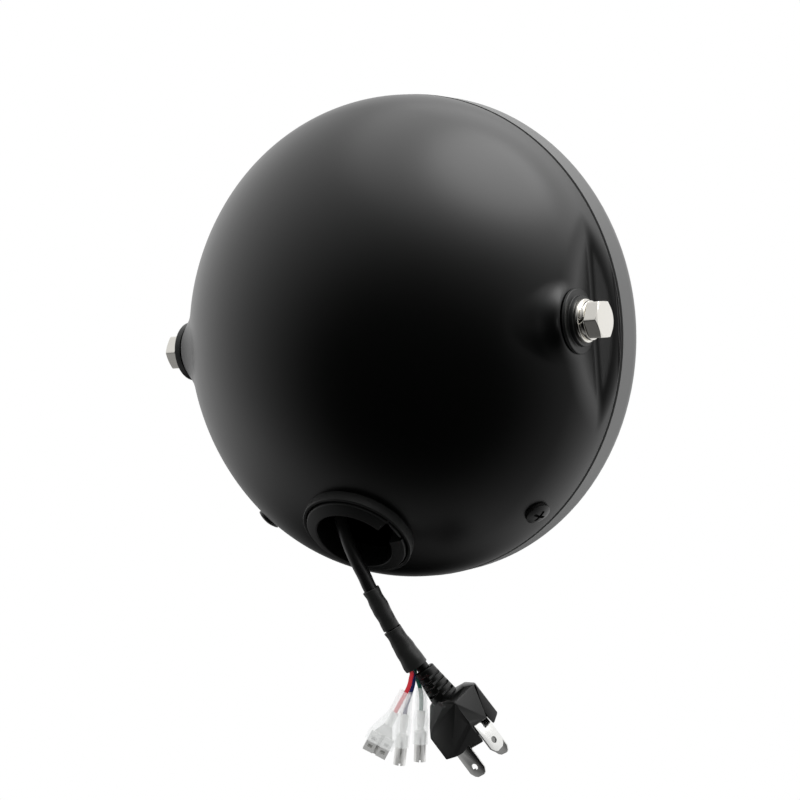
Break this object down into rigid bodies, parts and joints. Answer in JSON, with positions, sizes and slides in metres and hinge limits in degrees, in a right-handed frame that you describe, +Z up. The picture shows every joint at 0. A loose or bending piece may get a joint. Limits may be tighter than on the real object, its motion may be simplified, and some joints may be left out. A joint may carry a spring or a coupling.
{
  "type": "motorcycle headlight",
  "caption": "Round motorcycle headlight: a stamped black bucket on two side bolts, with its rim, sealed lamp unit, cable hole and a short lead with a blade plug.",
  "frame": {"origin": "the middle of the side bolt axis", "axes": "+X to the lamp's left along the bolt axis, +Y to the back of the bucket so that the light leaves towards -Y, +Z up"},
  "size_m": [0.1952, 0.0917, 0.2601],
  "materials": {
    "shell_black": "satin black powder coat",
    "rim_black": "satin black powder coat, a little greyer in the light",
    "hard_black": "black oxide",
    "pad_black": "moulded black nylon",
    "bright_nickel": "bright nickel plate",
    "zinc_steel": "zinc plate",
    "tin_plate": "bright tin plate",
    "cast_alu": "as cast",
    "cover_black": "black coat on cast metal",
    "grommet_rubber": "matt moulded rubber",
    "gasket_rubber": "foam rubber",
    "lens_clear": "clear hard-coated polycarbonate",
    "light_guide": "milky acrylic",
    "bezel_black": "gloss black",
    "reflector_bright": "vacuum metallised",
    "board_white": "white solder mask",
    "gland_black": "moulded nylon",
    "jacket_black": "smooth black jacket with a slight sheen",
    "shrink_black": "heat shrink with a slight sheen",
    "plug_black": "moulded plastic with a fine matt texture",
    "wire_red": "insulation",
    "wire_blue": "insulation",
    "wire_green": "insulation",
    "boot_clear": "clear soft sleeve"
  },
  "bodies": {
    "root": {"bucket": "shell_black", "rim": "rim_black", "rim_gasket": "gasket_rubber", "lens": "lens_clear", "halo_ring": "light_guide", "inner_bezel": "bezel_black", "low_reflector": "reflector_bright", "high_reflector": "reflector_bright", "low_led_board": "board_white", "high_led_board": "board_white", "unit_housing": "cast_alu", "retaining_ring": "zinc_steel", "retaining_screws": "zinc_steel", "driver_cover": "cover_black", "cover_screws": "zinc_steel", "cable_gland": "gland_black", "rim_tabs": "zinc_steel", "clip_nuts": "zinc_steel", "left_rim_screw": "hard_black", "right_rim_screw": "hard_black", "left_pad": "pad_black", "right_pad": "pad_black", "left_flat_washer": "bright_nickel", "right_flat_washer": "bright_nickel", "left_spring_washer": "bright_nickel", "right_spring_washer": "bright_nickel", "left_bolt": "bright_nickel", "right_bolt": "bright_nickel", "inner_nuts": "zinc_steel", "cable_grommet": "grommet_rubber", "lead": "jacket_black", "upper_sleeve": "shrink_black", "lower_sleeve": "shrink_black", "strain_relief": "plug_black", "plug_body": "plug_black", "plug_blades": "tin_plate", "red_wire": "wire_red", "blue_wire": "wire_blue", "green_wire": "wire_green", "flat_terminal": "tin_plate", "blue_bullet": "tin_plate", "green_bullet": "tin_plate", "flat_boot": "boot_clear", "blue_boot": "boot_clear", "green_boot": "boot_clear"}
  },
  "joints": []
}
